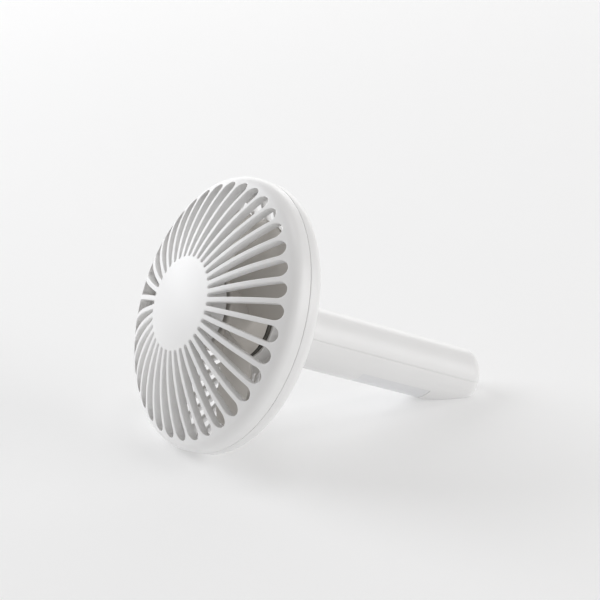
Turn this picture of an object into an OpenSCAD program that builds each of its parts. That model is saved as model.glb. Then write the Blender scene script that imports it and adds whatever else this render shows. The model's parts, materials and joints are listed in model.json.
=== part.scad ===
// Handheld electric fan: a round grilled head on a straight battery handle.
// The fan lies as it rests on a table, on the rim of its head and on the
// bevelled foot of its handle. Every part is drawn in the fan's own frame and
// laid down by lie(). In that frame z runs back along the fan axis from the
// front of the dome, x points to the power button's side, and y to one side.

/* [Head] */
// Outer diameter of the head
head_d = 109.4; // [108:0.2:112]
// Radius of the domed front face
dome_r = 94.3; // [92:0.1:98]
// Radius of the shoulder between the dome and the side wall
shoulder_r = 6.0; // [5:0.1:7]
// Depth of the parting line between front grille and rear shell
parting_z = 23.8; // [23:0.1:24.5]
// Depth of the back of the rim
back_z = 30.8; // [30.4:0.1:31.5]
// Rounding between the side wall and the back
back_round = 5.0; // [4:0.1:6]
// Wall thickness of the head shells
head_wall = 1.6; // [1.2:0.1:2]

/* [Front grille] */
// Number of radial slots
slot_count = 36; // [30:1:38]
// Radius of the plain disc in the middle
boss_r = 18.5; // [17:0.1:20]
// Width of the ribs between the slots
rib_w = 1.95; // [1.6:0.05:2.1]
// Depth of the ribs along the fan axis
rib_depth = 3.2; // [2.6:0.1:3.6]
// Depth of the skirt behind the plain disc
skirt_z = 13.5; // [13:0.1:13.8]
// Outer end of the slots, from the axis
slot_end_r = 51.4; // [50:0.1:51.6]
// Turn of the first slot away from the button's side
slot_turn = 4.1; // [0:0.1:10]

/* [Rear grille] */
// Radius of the domed rear grille
rear_dome_r = 86.2; // [84:0.1:88]
// Depth of the rear dome where it meets the axis
rear_apex_z = 45.9; // [45.4:0.1:46.2]
// Thickness of the rear ribs
back_t = 2.4; // [2:0.1:2.8]
// Outer end of the rear slots, from the axis
rear_slot_end_r = 48.6; // [46:0.1:48.8]
// Inner end of the rear slots, from the axis
rear_slot_start_r = 20; // [19.4:0.1:24]

/* [Impeller] */
// Number of blades
blade_count = 4; // [3:1:5]
// Radius over the blade tips
tip_r = 46.3; // [44:0.1:46.6]
// Outer radius of the impeller hub
hub_r = 15.0; // [14.8:0.1:15.4]
// Depth of the hub's front face
hub_z = 15.4; // [15:0.1:15.6]
// Angle that one blade covers
blade_sweep = 70; // [40:1:76]
// Turn of the first blade away from the button's side
blade_turn = 9.5; // [0:0.5:90]
// Radius where the corners of a blade begin to round off
corner_r = 34; // [30:0.5:40]
// Thickness of a blade
blade_t = 1.2; // [1:0.1:1.4]

/* [Motor] */
// Radius of the motor shaft
shaft_r = 1.0; // [0.9:0.05:1.1]
// Running clearance of the shaft in its bushes
shaft_gap = 0.03; // [0.02:0.01:0.06]
// Number of stator teeth
tooth_count = 9; // [6:3:9]

/* [Handle] */
// Diameter of the handle
handle_d = 25; // [24.8:0.1:26]
// Length from the front of the dome to the end of the handle
fan_len = 146.8; // [146.6:0.1:148]
// Rounding at the end of the handle
end_round = 6.0; // [5.6:0.1:6.4]
// Wall thickness of the handle
grip_wall = 1.6; // [1.4:0.1:1.8]
// Height of the seam above the fan axis
seam_x = 1.6; // [1.5:0.1:1.8]
// Start of the rating label
label_z = 88.3; // [86:0.1:92]
// Length of the rating label
label_len = 35; // [28:1:36]
// Angle that the label covers around the grip
label_sweep = 112; // [90:1:120]

/* [Controls] */
// Position of the power button along the axis
button_z = 54.3; // [54.2:0.1:54.6]
// Radius of the power button
button_r = 4.6; // [4.2:0.1:4.8]
// Gap around the button
button_gap = 0.12; // [0.1:0.01:0.2]
// Position of the status light along the axis
light_z = 50.4; // [50.2:0.1:50.6]

/* [Battery] */
// Diameter of the battery cell
cell_d = 18.4; // [18:0.1:18.5]
// Length of the battery cell
cell_len = 65; // [64:0.1:65.2]

/* [Rest] */
// Tilt of the fan axis when it lies on the table
tilt = 23; // [22.8:0.1:23.2]

/* [Hidden] */
$fn = 96;

// Head
head_r = head_d / 2;
wall_in_r = head_r - head_wall;
shoulder_x = head_r - shoulder_r;
shoulder_z = dome_r - sqrt(pow(dome_r - shoulder_r, 2) - pow(shoulder_x, 2));
shoulder_a = atan2(dome_r - shoulder_z, shoulder_x);
inner_dome_r = dome_r - rib_depth;
inner_edge_r = slot_end_r - 0.9;
lip_r = wall_in_r - 0.1;
lip_t = 1.0;
lip_len = 2.2;
back_c_r = head_r - back_round;
back_c_z = back_z - back_round;
back_in_r = back_round - head_wall;

// Slots of the front grille
slot_pitch = 360 / slot_count;
function slot_half(r) = r * sin(slot_pitch / 2) - rib_w / 2;
function slot_centre(end_r) = (end_r + rib_w / 2) / (1 + sin(slot_pitch / 2));

// Rear grille
rear_c_z = rear_apex_z - rear_dome_r;
rear_in_r = rear_dome_r - back_t;
rear_edge_r = back_c_r - 0.7;
pedestal_r = 15;
pedestal_wall = 1.8;
plate_t = 2;
plate_z = 36.4;
plate_end = plate_z + plate_t;

// Impeller
hub_wall = 1.4;
hub_back = 34.0;
blade_root_r = hub_r - 0.6;
blade_front = [16, 14.5];
blade_back = [26.5, 31.3];
front_corner = 21;
back_corner = 45;
blade_steps = 10;
chord_steps = 12;

// Motor
cup_r = hub_r - hub_wall;
cup_wall = 0.8;
cup_z = hub_z + hub_wall;
cup_back = 33.1;
magnet_t = 1.2;
stator_r = cup_r - cup_wall - magnet_t - 0.4;
stator_z = 21.2;
stator_len = 8;
coil_over = 1;
board_back = 34.9;
base_r = 14.2;
tube_r = 3.2;
bush_r = 2.2;
bush_z = 18.4;
bush_len = 3;
rear_bush_z = 31.5;
shaft_front = hub_z + 0.6;
shaft_end = 35.4;
motor_screw_ring = 6;
motor_screw_r = 0.8;
wire_hole_x = 6.2;
wire_hole_r = 1.7;

// Handle
grip_r = handle_d / 2;
grip_in = grip_r - grip_wall;
neck_round = 5;
neck_r = grip_r + neck_round;
neck_end = rear_c_z + sqrt(pow(rear_dome_r, 2) - pow(neck_r, 2)) + neck_round - 0.1;
neck_bore_r = 10.95;
grip_z = neck_end + 0.2;
tenon_r = neck_bore_r - 0.1;
tenon_in = 9.3;
tenon_z = 41.2;
snap_r = 11.7;
snap_len = 1.2;
collar_t = 1.4;
tongue_r = grip_in - 0.1;
tongue_in = 10.1;
tongue_h = 1.2;
foot_wall = grip_wall / cos(tilt);
end_in_z = fan_len - grip_wall;

// Boards, battery and screws
board_x = 3.5;
board_top = board_x + 1;
board_z = 44.4;
board_end = 58.2;
board_w = 15;
post_y = 6;
light_y = -6.4;
button_flange_r = 5.2;
button_base = 9.3;
front_screw_z = 61;
cell_z = 64;
cell_end = cell_z + cell_len;
tab_t = 0.35;
rear_screw_z = cell_end + 3.2;
screw_r = 0.8;
screw_hole_r = 1.1;
screw_tip = 6.5;
boss_r_out = 2.4;
front_seat = -9.9;
rear_seat = -7.2;
charge_z = 135;
socket_w = 8.94;
socket_h = 3.16;
socket_len = 7.3;
socket_z = fan_len - 0.6 - socket_len;
charge_top = seam_x - socket_h / 2;
charge_x = charge_top - 1;
wire_r = 0.5;

// Resting pose: the rim of the head and the foot touch the table
rest_h = back_c_r * cos(tilt) + back_c_z * sin(tilt) + back_round;
front_x = dome_r * (cos(tilt) - 1);
end_x = (fan_len - end_round) * cos(tilt) + (grip_r - end_round) * sin(tilt) + end_round;
mid_x = (front_x + end_x) / 2;

// Colours
shell_white = [0.95, 0.95, 0.94];
steel = [0.7, 0.71, 0.73];
brass = [0.78, 0.62, 0.35];
copper = [0.75, 0.42, 0.22];
board_green = [0.1, 0.36, 0.22];
dark = [0.13, 0.13, 0.14];

// ---- helpers ----

// Lays the fan down from its own frame to its resting pose
module lie() {
    translate([-mid_x, 0, rest_h]) rotate([180, tilt - 90, 0]) children();
}

// Points of an arc in the plane of a profile
function arc(cx, cy, r, a0, a1, n) =
    [for (i = [0:n]) let (a = a0 + (a1 - a0) * i / n) [cx + r * cos(a), cy + r * sin(a)]];

module tube(r_out, r_in, z0, z1) {
    translate([0, 0, z0]) difference() {
        cylinder(r = r_out, h = z1 - z0);
        translate([0, 0, -1]) cylinder(r = r_in, h = z1 - z0 + 2);
    }
}

// A rod along x, the direction of the button and of the case screws
module rod_x(r, x0, x1, z, y = 0) {
    translate([x0, y, z]) rotate([0, 90, 0]) cylinder(r = r, h = x1 - x0, $fn = 48);
}

// A block given by its two ends in x and z, and its width in y
module block(x0, x1, w, z0, z1, y = 0) {
    translate([x0, y - w / 2, z0]) cube([x1 - x0, w, z1 - z0]);
}

// Everything above the table, or above a plane that is raised by lift
module above_table(lift) {
    translate([lift - rest_h / cos(tilt), 0, 0]) rotate([0, 90 + tilt, 0])
        translate([-200, -50, 0]) cube([400, 100, 100]);
}

// Ring sector around the fan axis
module sector(r_in, r_out, z0, z1, sweep, middle) {
    translate([0, 0, z0]) rotate([0, 0, middle - sweep / 2])
        rotate_extrude(angle = sweep)
            translate([r_in, 0]) square([r_out - r_in, z1 - z0]);
}

// ---- wires ----

// A round tube swept along a smoothed route
function spline(p, i, t) =
    let (a = p[max(i - 1, 0)], b = p[i], c = p[i + 1], d = p[min(i + 2, len(p) - 1)])
    0.5 * (2 * b + (c - a) * t + (2 * a - 5 * b + 4 * c - d) * t * t
        + (3 * b - a - 3 * c + d) * t * t * t);
function route(p, n) = concat(
    [for (i = [0:len(p) - 2]) for (k = [0:n - 1]) spline(p, i, k / n)],
    [p[len(p) - 1]]);
function unit(v) = v / norm(v);
function heading(p, i) = unit(p[min(i + 1, len(p) - 1)] - p[max(i - 1, 0)]);
function ring(c, dir, r, n) =
    let (u = unit(cross(dir, [0.95, 0.31, 0])), v = cross(dir, u))
    [for (k = [0:n - 1]) c + r * (u * cos(360 * k / n) + v * sin(360 * k / n))];

module wire(points, r = wire_r, sides = 8) {
    p = route(points, 3);
    n = len(p);
    pts = [for (i = [0:n - 1]) each ring(p[i], heading(p, i), r, sides)];
    walls = [for (i = [0:n - 2]) for (k = [0:sides - 1])
        [i * sides + k, (i + 1) * sides + k,
            (i + 1) * sides + (k + 1) % sides, i * sides + (k + 1) % sides]];
    ends = [[for (k = [0:sides - 1]) k], [for (k = [sides - 1:-1:0]) (n - 1) * sides + k]];
    polyhedron(points = pts, faces = concat(walls, ends), convexity = 6);
}

// ---- head shells ----

module slots(turn, c_in, c_out) {
    run = c_in - c_out;
    r_in = slot_half(c_in);
    r_out = slot_half(c_out);
    for (i = [0:slot_count - 1]) rotate(turn + i * slot_pitch) translate([c_out, 0]) {
        circle(r = r_out, $fn = 32);
        polygon([[0, r_out], [0, -r_out], [run, -r_in], [run, r_in]]);
        translate([run, 0]) circle(r = r_in, $fn = 24);
    }
}

module slotted_dome() difference() {
    rotate_extrude() polygon(concat(
        arc(0, dome_r, dome_r, -90, -shoulder_a, 12),
        arc(shoulder_x, shoulder_z, shoulder_r, -shoulder_a * 6 / 7, 0, 6),
        [[head_r, parting_z], [wall_in_r, parting_z]],
        arc(shoulder_x, shoulder_z, shoulder_r - head_wall, 0, -40, 4),
        arc(0, dome_r, inner_dome_r, -acos(inner_edge_r / inner_dome_r), -90, 10)));
    linear_extrude(height = parting_z)
        slots(slot_turn, boss_r + 0.9, slot_centre(slot_end_r));
}

module front_grille() color(shell_white) lie() {
    slotted_dome();
    tube(hub_r, hub_r - hub_wall, rib_depth, skirt_z);
}

// Rim and domed back, up to the neck
module rear_profile() {
    rotate_extrude() polygon(concat(
        [[head_r, parting_z]],
        arc(back_c_r, back_c_z, back_round, 0, 90, 8),
        arc(0, rear_c_z, rear_dome_r, acos(rear_edge_r / rear_dome_r), 90, 14),
        arc(0, rear_c_z, rear_in_r, 90, acos(rear_edge_r / rear_in_r), 14),
        arc(back_c_r, back_c_z, back_in_r, 78, 0, 5),
        [[lip_r - lip_t, back_c_z - lip_t], [lip_r - lip_t, parting_z - lip_len],
            [lip_r, parting_z - lip_len], [lip_r, parting_z]]));
}

// Flared neck that takes the tenon of the handle
module neck() {
    rotate_extrude() polygon(concat(
        [[0, plate_end + 4], [neck_r, neck_end - neck_round]],
        arc(neck_r, neck_end, neck_round, 270, 180, 6), [[0, neck_end]]));
}

// Hollow stand that carries the motor
module pedestal() {
    tube(pedestal_r, pedestal_r - pedestal_wall, plate_z, rear_apex_z - back_t - 1);
    translate([0, 0, plate_z]) cylinder(r = pedestal_r - 0.1, h = plate_t);
}

module rear_shell() color(shell_white) lie() difference() {
    union() {
        difference() {
            rear_profile();
            translate([0, 0, parting_z + 1]) linear_extrude(height = 40)
                slots(0, rear_slot_start_r, slot_centre(rear_slot_end_r));
        }
        neck();
        pedestal();
    }
    translate([0, 0, plate_end + 2]) cylinder(r = neck_bore_r, h = 20);
    for (a = [60, 180, 300]) rotate([0, 0, a]) translate([motor_screw_ring, 0, plate_z - 1])
        cylinder(r = motor_screw_r + 0.2, h = plate_t + 2, $fn = 32);
    translate([wire_hole_x, 0, plate_z - 1]) cylinder(r = wire_hole_r, h = plate_t + 2, $fn = 48);
}

// ---- impeller ----

function mix(range, t) = range[0] + (range[1] - range[0]) * t;

// How far a rounded corner cuts into the blade at radius r
function corner(r, angle) =
    let (x = max(0, r - corner_r) / (tip_r + 0.05 - corner_r)) angle * (1 - sqrt(1 - x * x));
function blade_point(u, v, side) =
    let (r = mix([blade_root_r, tip_r], sin(90 * u)),
        a = mix([corner(r, front_corner), blade_sweep - corner(r, back_corner)], v),
        z = mix([mix(blade_front, sin(90 * u)), mix(blade_back, sin(90 * u))], a / blade_sweep))
    [r * cos(a), r * sin(a), z + side * blade_t / 2];

module blade() {
    n = chord_steps + 1;
    m = (blade_steps + 1) * n;
    pts = [for (side = [-1, 1]) for (i = [0:blade_steps]) for (k = [0:chord_steps])
        blade_point(i / blade_steps, k / chord_steps, side)];
    skins = [for (i = [0:blade_steps - 1]) for (k = [0:chord_steps - 1]) let (q = i * n + k) each [
        [q, q + n, q + 1], [q + 1, q + n, q + n + 1],
        [m + q, m + q + 1, m + q + n], [m + q + 1, m + q + n + 1, m + q + n]]];
    rims = [for (i = [0:blade_steps - 1]) let (q = i * n, s = q + chord_steps) each [
        [q, m + q, q + n], [q + n, m + q, m + q + n],
        [s, s + n, m + s], [s + n, m + s + n, m + s]]];
    caps = [for (k = [0:chord_steps - 1]) let (q = k, s = blade_steps * n + k) each [
        [q, q + 1, m + q], [q + 1, m + q + 1, m + q],
        [s, m + s, s + 1], [s + 1, m + s, m + s + 1]]];
    polyhedron(points = pts, faces = concat(skins, rims, caps), convexity = 4);
}

module impeller() color(shell_white) lie() {
    difference() {
        union() {
            difference() {
                translate([0, 0, hub_z]) cylinder(r = hub_r, h = hub_back - hub_z);
                translate([0, 0, cup_z]) cylinder(r = cup_r, h = hub_back);
            }
            translate([0, 0, hub_z + 0.2]) cylinder(r = bush_r, h = bush_z - 0.4 - hub_z - 0.2);
            for (i = [0:blade_count - 1])
                rotate([0, 0, blade_turn + i * 360 / blade_count]) blade();
        }
        translate([0, 0, shaft_front]) cylinder(r = shaft_r, h = hub_back, $fn = 48);
    }
}

module rotor_cup() color(steel) lie() {
    tube(cup_r, cup_r - cup_wall, cup_z, cup_back);
    tube(cup_r - cup_wall, bush_r, cup_z, cup_z + cup_wall);
}

module magnet_ring() color(dark) lie()
    tube(cup_r - cup_wall, cup_r - cup_wall - magnet_t, cup_z + cup_wall + 0.8, cup_back - 0.6);

module motor_shaft() color(steel) lie()
    translate([0, 0, shaft_front]) cylinder(r = shaft_r, h = shaft_end - shaft_front, $fn = 48);

module shaft_clip() color(steel) lie()
    tube(bush_r - 0.3, shaft_r, rear_bush_z + bush_len + 0.2, rear_bush_z + bush_len + 0.5);

module thrust_washer() color(dark) lie()
    tube(bush_r - 0.2, shaft_r, bush_z - 0.4, bush_z - 0.1);

// ---- stator, bearing and base ----

module stator_plan() {
    difference() {
        circle(r = tube_r + 2);
        circle(r = tube_r);
    }
    difference() {
        circle(r = stator_r);
        circle(r = stator_r - 1.4);
        for (i = [0:tooth_count - 1]) rotate((i + 0.5) * 360 / tooth_count)
            translate([0, -0.6]) square([stator_r + 1, 1.2]);
    }
    for (i = [0:tooth_count - 1]) rotate(i * 360 / tooth_count)
        translate([tube_r + 1.5, -0.9]) square([stator_r - tube_r - 2.4, 1.8]);
}

module stator_core() color(steel) lie()
    translate([0, 0, stator_z]) linear_extrude(height = stator_len) stator_plan();

module stator_windings() color(copper) lie()
    for (i = [0:tooth_count - 1]) rotate([0, 0, i * 360 / tooth_count]) difference() {
        block(5.6, 9.5, 3.4, stator_z - coil_over, stator_z + stator_len + coil_over);
        block(5, 10, 1.8, stator_z, stator_z + stator_len);
    }

module bearing_tube() color(brass) lie() tube(tube_r, bush_r, bush_z, plate_z);

module front_bush() color(brass) lie()
    tube(bush_r, shaft_r + shaft_gap, bush_z, bush_z + bush_len);

module rear_bush() color(brass) lie()
    tube(bush_r, shaft_r + shaft_gap, rear_bush_z, rear_bush_z + bush_len);

module motor_base() color(steel) lie() difference() {
    tube(base_r, tube_r, board_back, plate_z);
    for (a = [60, 180, 300]) rotate([0, 0, a]) translate([motor_screw_ring, 0, board_back - 1])
        cylinder(r = motor_screw_r, h = 4, $fn = 32);
    translate([wire_hole_x, 0, board_back - 1]) cylinder(r = wire_hole_r, h = 4, $fn = 48);
}

module motor_board() color(board_green) lie()
    tube(12.4, tube_r + 0.2, board_back - 1, board_back);

module motor_screws() color(steel) lie()
    for (a = [60, 180, 300]) rotate([0, 0, a]) translate([motor_screw_ring, 0, 0]) difference() {
        union() {
            translate([0, 0, board_back + 0.2])
                cylinder(r = motor_screw_r, h = plate_end - board_back - 0.2, $fn = 32);
            translate([0, 0, plate_end]) cylinder(r = 1.5, h = 1.1, $fn = 32);
        }
        for (b = [0, 90]) rotate([0, 0, b]) translate([-1, -0.2, plate_end + 0.5]) cube([2, 0.4, 1]);
    }

// ---- handle shells ----

module grip_outer() {
    rotate_extrude() polygon(concat(
        [[0, grip_z], [grip_r, grip_z]],
        arc(grip_r - end_round, fan_len - end_round, end_round, 0, 90, 8),
        [[0, fan_len]]));
}

module grip_inner() {
    rotate_extrude() polygon(concat(
        [[0, grip_z + collar_t], [grip_in, grip_z + collar_t]],
        arc(grip_r - end_round, fan_len - end_round, end_round - grip_wall, 0, 90, 6),
        [[0, end_in_z]]));
}

module grip_shell() {
    difference() {
        intersection() {
            grip_outer();
            above_table(0);
        }
        intersection() {
            grip_inner();
            above_table(foot_wall);
        }
        cylinder(r = tenon_in, h = grip_z + collar_t + 1);
    }
    tube(tenon_r, tenon_in, tenon_z, grip_z + 0.5);
    tube(snap_r, tenon_in, tenon_z, tenon_z + snap_len);
}

// The USB opening and the socket share this flattened outline
module stadium(w, h) {
    translate([seam_x - h / 2, (h - w) / 2]) square([h, w - h]);
    for (s = [-1, 1]) translate([seam_x, s * (w - h) / 2]) circle(r = h / 2, $fn = 32);
}

module socket_opening() {
    translate([0, 0, end_in_z - 1]) linear_extrude(height = 4) stadium(9.3, 3.5);
}

module handle_upper() color(shell_white) lie() difference() {
    union() {
        intersection() {
            grip_shell();
            block(seam_x, grip_r + 1, 2 * grip_r + 2, tenon_z - 1, fan_len + 1);
        }
        intersection() {
            tube(tongue_r, tongue_in, cell_z + 2, cell_end - 2);
            block(seam_x - tongue_h, seam_x + 1, 3 * grip_r, cell_z, cell_end);
        }
        intersection() {
            tube(grip_in + 0.2, tongue_in, cell_z + 2, cell_end - 2);
            block(seam_x, seam_x + tongue_h, 3 * grip_r, cell_z, cell_end);
        }
        for (z = [front_screw_z, rear_screw_z]) rod_x(boss_r_out, seam_x, grip_in + 0.3, z);
        for (y = [-post_y, post_y]) {
            rod_x(0.9, board_top, 8, board_z + 1.2, y);
            rod_x(0.9, board_top, 9.7, board_end - 0.9, y);
        }
    }
    rod_x(button_r + button_gap, 7, grip_r + 1, button_z);
    rod_x(button_flange_r + 0.2, 7.5, button_base + 0.35, button_z);
    rod_x(1.0, 5.4, grip_r + 1, light_z, light_y);
    rod_x(1.7, 6, 7.2, light_z, light_y);
    for (z = [front_screw_z, rear_screw_z]) rod_x(screw_r, seam_x - 1, screw_tip + 1, z);
    socket_opening();
}

module handle_lower() color(shell_white) lie() difference() {
    union() {
        intersection() {
            grip_shell();
            block(-grip_r - 1, seam_x, 2 * grip_r + 2, tenon_z - 1, fan_len + 1);
        }
        rod_x(boss_r_out, -grip_in - 0.3, seam_x, front_screw_z);
        rod_x(2.9, -grip_in - 0.3, front_seat + 1, front_screw_z);
        intersection() {
            union() {
                rod_x(boss_r_out, -grip_in, seam_x, rear_screw_z);
                rod_x(2.8, -grip_in, rear_seat + 1, rear_screw_z);
            }
            above_table(0.8);
        }
        for (z = [72, 96, 120]) sector(cell_d / 2 + 0.1, grip_in + 0.3, z, z + 1.6, 100, 180);
        for (z = [137, 143]) for (y = [-4.6, 4.6]) intersection() {
            rod_x(0.9, -9, charge_x, z, y);
            above_table(0.8);
        }
    }
    for (z = [front_screw_z, rear_screw_z]) rod_x(screw_hole_r, -grip_r - 1, seam_x + 1, z);
    rod_x(2.0, -grip_r - 1, front_seat, front_screw_z);
    rod_x(1.9, -grip_r - 1, rear_seat, rear_screw_z);
    sector(grip_r - 0.35, grip_r + 1, label_z, label_z + label_len, label_sweep, 180);
    socket_opening();
}

module case_screw(seat, z) {
    difference() {
        union() {
            rod_x(screw_r, seat, screw_tip, z);
            rod_x(1.6, seat - 1.2, seat, z);
        }
        for (b = [0, 90]) translate([seat - 1.3, 0, z]) rotate([b, 0, 0])
            translate([0, -1.1, -0.2]) cube([0.8, 2.2, 0.4]);
    }
}

module case_screws() color(steel) lie() {
    case_screw(front_seat, front_screw_z);
    case_screw(rear_seat, rear_screw_z);
}

module rating_label() color([0.8, 0.8, 0.8]) lie()
    sector(grip_r - 0.33, grip_r - 0.08, label_z + 0.2, label_z + label_len - 0.2,
        label_sweep - 1, 180);

// ---- battery ----

module battery_cell() color([0.2, 0.45, 0.62]) lie()
    translate([0, 0, cell_z]) cylinder(r = cell_d / 2, h = cell_len);

module battery_tabs() color(steel) lie() {
    block(-2.5, 5.5, 4, cell_z - tab_t, cell_z);
    block(3, 5.5, 4, cell_z - tab_t, cell_z, -4);
    block(-2.5, 2.5, 4, cell_end, cell_end + tab_t);
    block(-2.5, 0.5, 5, cell_end, cell_end + tab_t, 4.5);
}

module battery_pads() color(dark) lie()
    for (z = [76, 106])
        sector(cell_d / 2 + 0.02, grip_in - 0.02, z, z + 12, 64, 0);

// ---- boards and controls ----

module main_board() color(board_green) lie()
    block(board_x, board_top, board_w, board_z, board_end);

module board_components() color(dark) lie() {
    block(board_x - 1.5, board_x, 5, 47.6, 52.6, -0.6);
    rod_x(2.1, board_x - 2.1, board_x, 55.2, 3.3);
    block(board_x - 1, board_x, 1.6, 50, 53.2, -5.4);
    for (z = [47, 49, 51]) block(board_x - 0.6, board_x, 2, z, z + 1, 5);
    for (y = [-4, 4]) block(board_top, board_top + 0.7, 1.2, 47, 49, y);
}

module tact_switch() color(steel) lie() {
    difference() {
        block(board_top, board_top + 2.5, 6, button_z - 3, button_z + 3);
        rod_x(1.8, board_top + 0.9, board_top + 3, button_z);
    }
    for (y = [-3.5, 3.5]) for (z = [-2.2, 2.2])
        block(board_top, board_top + 0.3, 1, button_z + z - 0.4, button_z + z + 0.4, y);
}

module switch_plunger() color(dark) lie() rod_x(1.7, board_top + 1.6, 7.9, button_z);

module power_button() color(shell_white) lie() {
    intersection() {
        rod_x(button_r, button_base, grip_r + 1, button_z);
        tube(grip_r + 0.15, 1, button_z - 10, button_z + 10);
    }
    rod_x(button_flange_r, button_base - 0.7, button_base, button_z);
    rod_x(1.5, 7.9, button_base - 0.7, button_z);
}

module status_led() color([0.95, 0.95, 0.8]) lie()
    block(board_top, board_top + 0.8, 1.6, light_z - 0.8, light_z + 0.8, light_y);

module led_window() color([0.9, 0.95, 1]) lie() {
    rod_x(0.95, board_top + 1, 10.2, light_z, light_y);
    rod_x(1.6, 6.3, 7.1, light_z, light_y);
}

module charge_board() color(board_green) lie()
    block(charge_x, charge_top, 13, charge_z, charge_z + 10);

module charge_components() color(dark) lie() {
    block(charge_top, charge_top + 0.9, 3, 135.6, 138.4);
    for (y = [-4, 4]) block(charge_top, charge_top + 0.7, 1.6, 136, 137.2, y);
}

module usb_socket() color(steel) lie() {
    difference() {
        translate([0, 0, socket_z]) linear_extrude(height = socket_len)
            stadium(socket_w, socket_h);
        translate([0, 0, socket_z + 1]) linear_extrude(height = socket_len)
            stadium(socket_w - 0.6, socket_h - 0.6);
    }
    block(seam_x - 0.35, seam_x + 0.35, 6.7, socket_z + 0.5, socket_z + socket_len - 0.8);
}

// ---- wiring ----

// Straight run of a wire beside the cell, at the same distance from the axis
side_r = 10.05;
function beside(x, z, s) = [x, s * sqrt(side_r * side_r - x * x), z];

module battery_wires() {
    color("crimson") lie() wire([
        [4.2, -5, cell_z - tab_t], [4.2, -5, 62.4], [3.6, -4.6, 60.4],
        [3, -3.2, 58.4], [3, -2.6, 57]]);
    color(dark) lie() wire([
        [-1, 6, cell_end + tab_t + 0.05], [-1, 6, cell_end + tab_t + 0.9],
        [-1.2, 7.4, 131.5], [-1.8, 9.4, 131.2],
        beside(-2, 127, 1), beside(-2, 98, 1), beside(-2, 68, 1),
        [-0.5, 9.4, 62.5], [2.4, 7.4, 59.4], [3, 6.5, 57]]);
}

module charge_wires() {
    color("crimson") lie() wire([
        [charge_x - 0.5, -3, 136.4], [-1.6, -4.6, 133.4], [-2, -9.2, 131.6],
        beside(-2, 127, -1), beside(-2, 98, -1), beside(-2, 68, -1),
        [-0.5, -9.4, 62.5], [2.4, -8, 59.4], [3, -6.6, 57]]);
    color(dark) lie() wire([
        [charge_x - 0.5, -1, 136.4], [-2.2, -3.4, 132.9], [-3.4, -8.4, 131.2],
        beside(-3.6, 127, -1), beside(-3.6, 98, -1), beside(-3.6, 68, -1),
        [-1.6, -8.4, 61.5], [1.8, -6.6, 58.6], [3, -4.8, 57]]);
}

module motor_wires() color("goldenrod") lie()
    for (s = [-1, 0, 1]) wire([
        [wire_hole_x, 1.1 * s, board_back], [wire_hole_x, 1.1 * s, plate_end + 1],
        [5.2, 1.4 * s, 41.2], [3, 2 * s, 43.2], [2.98, 2.2 * s, 45.2], [2.98, 2.2 * s, 47]]);

front_grille();
rear_shell();
impeller();
rotor_cup();
magnet_ring();
motor_shaft();
shaft_clip();
thrust_washer();
stator_core();
stator_windings();
bearing_tube();
front_bush();
rear_bush();
motor_base();
motor_board();
motor_screws();
handle_upper();
handle_lower();
case_screws();
battery_cell();
battery_tabs();
battery_pads();
main_board();
board_components();
tact_switch();
switch_plunger();
power_button();
status_led();
led_window();
charge_board();
charge_components();
usb_socket();
battery_wires();
charge_wires();
motor_wires();
rating_label();
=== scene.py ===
import json
import math

import bmesh
import bpy
import numpy as np
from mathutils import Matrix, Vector


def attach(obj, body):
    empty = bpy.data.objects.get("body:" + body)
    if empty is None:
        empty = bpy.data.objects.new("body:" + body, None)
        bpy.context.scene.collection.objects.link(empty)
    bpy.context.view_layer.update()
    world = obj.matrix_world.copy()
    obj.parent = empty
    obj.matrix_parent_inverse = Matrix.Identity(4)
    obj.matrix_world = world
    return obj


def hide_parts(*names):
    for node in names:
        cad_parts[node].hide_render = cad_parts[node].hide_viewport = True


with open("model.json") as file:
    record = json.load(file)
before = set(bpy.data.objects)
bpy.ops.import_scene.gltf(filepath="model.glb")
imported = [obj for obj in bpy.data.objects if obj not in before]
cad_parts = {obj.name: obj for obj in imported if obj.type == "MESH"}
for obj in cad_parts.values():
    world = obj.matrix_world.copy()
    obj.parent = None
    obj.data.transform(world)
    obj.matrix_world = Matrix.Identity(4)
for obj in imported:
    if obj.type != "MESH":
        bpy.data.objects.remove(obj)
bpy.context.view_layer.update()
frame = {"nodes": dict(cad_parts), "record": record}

# ---- sizes in mm, in the fan's own frame: z runs back along the axis, x is the button's side ----

# Head: the front grille is a dome, and both shells meet at the parting line.
HEAD_R = 54.7
HEAD_WALL = 1.6
HEAD_IN_R = HEAD_R - HEAD_WALL
DOME_R = 94.3
SHOULDER_R = 6.0
PARTING_Z = 23.8
PARTING_GAP = 0.05  # each shell's distance from the parting line
PARTING_ROUND = 0.3

# Front grille. The slots lie between the two join radii, and beyond them the surface is plain.
SLOTS = 36
RIB_W = 1.95
RIB_DEPTH = 3.2
RIB_ROUND = 0.32
RIB_BACK_ROUND = 0.3
BOSS_R = 18.5
FRONT_START_C = BOSS_R + 0.9  # where the slots' round inner ends are centred
FRONT_END_R = 51.4
FRONT_TURN = 4.1  # degrees from the button's side to the first slot
FRONT_JOIN_IN = 17.9
FRONT_JOIN_OUT = 52.0
INSIDE_END_R = 50.5  # the grille's inner face is a sphere up to here, then a cone
INSIDE_SLOPE = 0.43
SKIRT_R = 15.0
SKIRT_WALL = 1.4
SKIRT_Z = 13.5
SKIRT_ROUND = 0.3

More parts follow.
